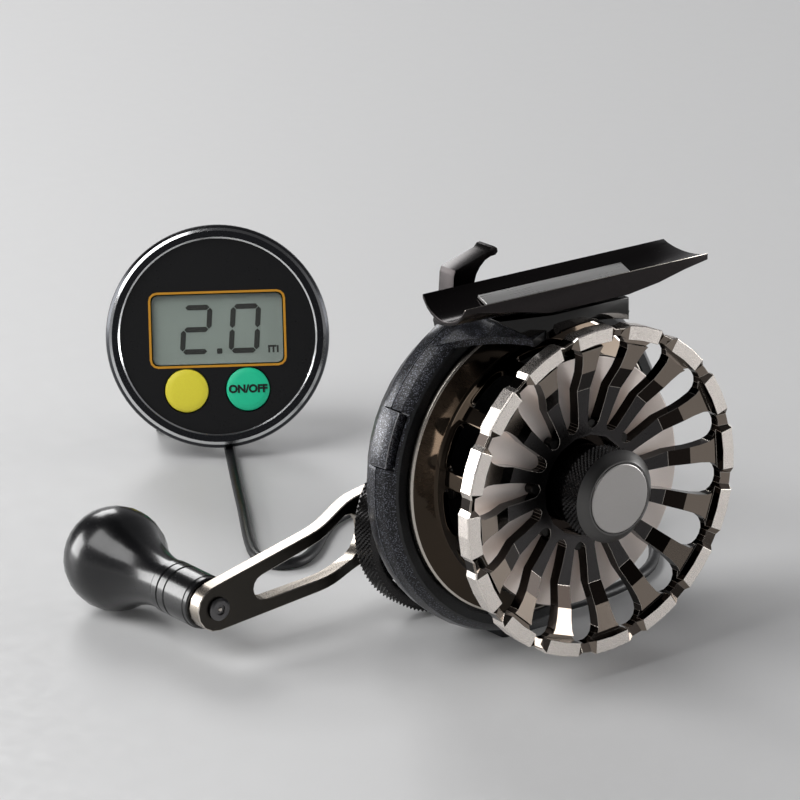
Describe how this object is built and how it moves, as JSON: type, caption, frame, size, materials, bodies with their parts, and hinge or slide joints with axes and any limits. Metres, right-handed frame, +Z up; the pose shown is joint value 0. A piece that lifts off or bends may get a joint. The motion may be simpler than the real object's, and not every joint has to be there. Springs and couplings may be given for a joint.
{
  "type": "raft fishing reel with digital line display",
  "caption": "Open-faced raft fishing reel with a geared two-knob handle, rod foot and release lever, joined by a cord to a round digital depth display.",
  "frame": {"origin": "on the table, under the middle of the reel and its display taken together without the cord", "axes": "+X along the spool's axis, out of the spool wheel's open face; +Y along the rod foot; +Z up"},
  "size_m": [0.1911, 0.1276, 0.0814],
  "materials": {
    "gunmetal": "polished",
    "steel": "ground",
    "knurled_black": "knurled, black anodised",
    "satin_grey": "satin",
    "granite_paint": "speckled semi-gloss",
    "brass": "machined",
    "black_anodised": "black anodised satin",
    "bright_strip": "satin",
    "black_plastic": "fine matt",
    "cord_rubber": "smooth matt",
    "circuit": "solder mask",
    "carbon": "woven matt",
    "bronze": "satin anodised",
    "gloss_black": "gloss",
    "bezel_steel": "dark polished",
    "lens": "clear",
    "lcd": "grey-green screen",
    "amber": "painted line",
    "yellow_rubber": "satin",
    "green_rubber": "satin"
  },
  "bodies": {
    "frame": {"main_frame": "granite_paint", "side_cover": "granite_paint", "cover_screw_a": "steel", "cover_screw_b": "steel", "cover_screw_c": "steel", "lock_plate": "granite_paint", "spool_shaft": "steel", "yoke_post_near": "steel", "yoke_post_far": "steel", "lever_pin": "steel", "foot_block": "black_anodised", "reel_foot": "black_anodised", "foot_strip": "bright_strip", "foot_screw_near": "steel", "foot_screw_far": "steel", "outlet_block": "black_plastic", "cord_gland": "cord_rubber", "sensor_board": "circuit", "handle_bearing": "steel", "display_bezel": "bezel_steel", "face_plate": "gloss_black", "lcd_lens": "lens", "lcd_panel": "lcd", "lcd_border": "amber", "display_board": "circuit", "coin_cell": "steel", "display_case": "black_plastic", "rod_clip": "black_plastic", "cord_relief": "black_plastic", "display_cord": "cord_rubber"},
    "spool": {"spool_wheel": "gunmetal", "spool_drum": "gunmetal", "magnet_near": "steel", "magnet_far": "steel", "bearing_front": "steel", "bearing_rear": "steel", "pinion": "brass"},
    "brake": {"brake_knob": "knurled_black", "brake_cap": "satin_grey"},
    "handle": {"handle_shaft": "steel", "main_gear": "brass", "drag_washer": "carbon", "pressure_plate": "steel", "handle_collar": "steel", "handle_arm": "bronze", "handle_nut": "steel", "knob_post_near": "steel", "knob_post_far": "steel"},
    "drag": {"drag_wheel": "knurled_black"},
    "near_grip": {"knob_near": "gloss_black", "ferrule_near": "gloss_black"},
    "far_grip": {"knob_far": "gloss_black", "ferrule_far": "gloss_black"},
    "lever": {"release_lever": "black_anodised"},
    "yoke": {"clutch_yoke": "black_plastic"},
    "set_key": {"set_button": "yellow_rubber"},
    "power_key": {"power_button": "green_rubber"},
    "hatch": {"battery_hatch": "black_plastic"}
  },
  "joints": [
    {"name": "handle_turn", "type": "hinge", "parent": "frame", "child": "handle", "pos_m": [0.0325, -0.00005, 0.01963], "axis": [1, 0, 0], "continuous": true},
    {"name": "spool_spin", "type": "hinge", "parent": "frame", "child": "spool", "pos_m": [0.091, 0.0016, 0.03788], "axis": [1, 0, 0], "continuous": true},
    {"name": "brake_turn", "type": "hinge", "parent": "frame", "child": "brake", "pos_m": [0.091, 0.0016, 0.03788], "axis": [1, 0, 0], "range_deg": [-170, 170]},
    {"name": "drag_turn", "type": "hinge", "parent": "handle", "child": "drag", "pos_m": [0.0409, -0.00005, 0.01963], "axis": [1, 0, 0], "range_deg": [-270, 270]},
    {"name": "near_knob_spin", "type": "hinge", "parent": "handle", "child": "near_grip", "pos_m": [0.0007, -0.05081, 0.01095], "axis": [1, 0, 0], "continuous": true},
    {"name": "far_knob_spin", "type": "hinge", "parent": "handle", "child": "far_grip", "pos_m": [0.0007, 0.05071, 0.0283], "axis": [1, 0, 0], "continuous": true},
    {"name": "lever_press", "type": "hinge", "parent": "frame", "child": "lever", "pos_m": [0.06205, -0.0124, 0.06788], "axis": [1, 0, 0], "range_deg": [-22, 0], "stiffness_Nm_per_rad": 0.02, "springref_deg": 11.46},
    {"name": "yoke_slide", "type": "slide", "parent": "frame", "child": "yoke", "axis": [1, 0, 0], "range_m": [-0.0012, 0]},
    {"name": "set_press", "type": "slide", "parent": "frame", "child": "set_key", "axis": [-0.7939, 0.5317, -0.2949], "range_m": [0, 0.0006], "stiffness_N_per_m": 300, "springref_m": -0.0003},
    {"name": "power_press", "type": "slide", "parent": "frame", "child": "power_key", "axis": [-0.7939, 0.5317, -0.2949], "range_m": [0, 0.0006], "stiffness_N_per_m": 300, "springref_m": -0.0003},
    {"name": "hatch_turn", "type": "hinge", "parent": "frame", "child": "hatch", "pos_m": [-0.07995, 0.02923, 0.02774], "axis": [-0.7939, 0.5317, -0.2949], "range_deg": [0, 60]}
  ],
  "couplings": [
    {"joint": "spool_spin", "follows": "handle_turn", "ratio": -3.2143},
    {"joint": "yoke_slide", "follows": "lever_press", "m_per_rad": 0.003}
  ]
}
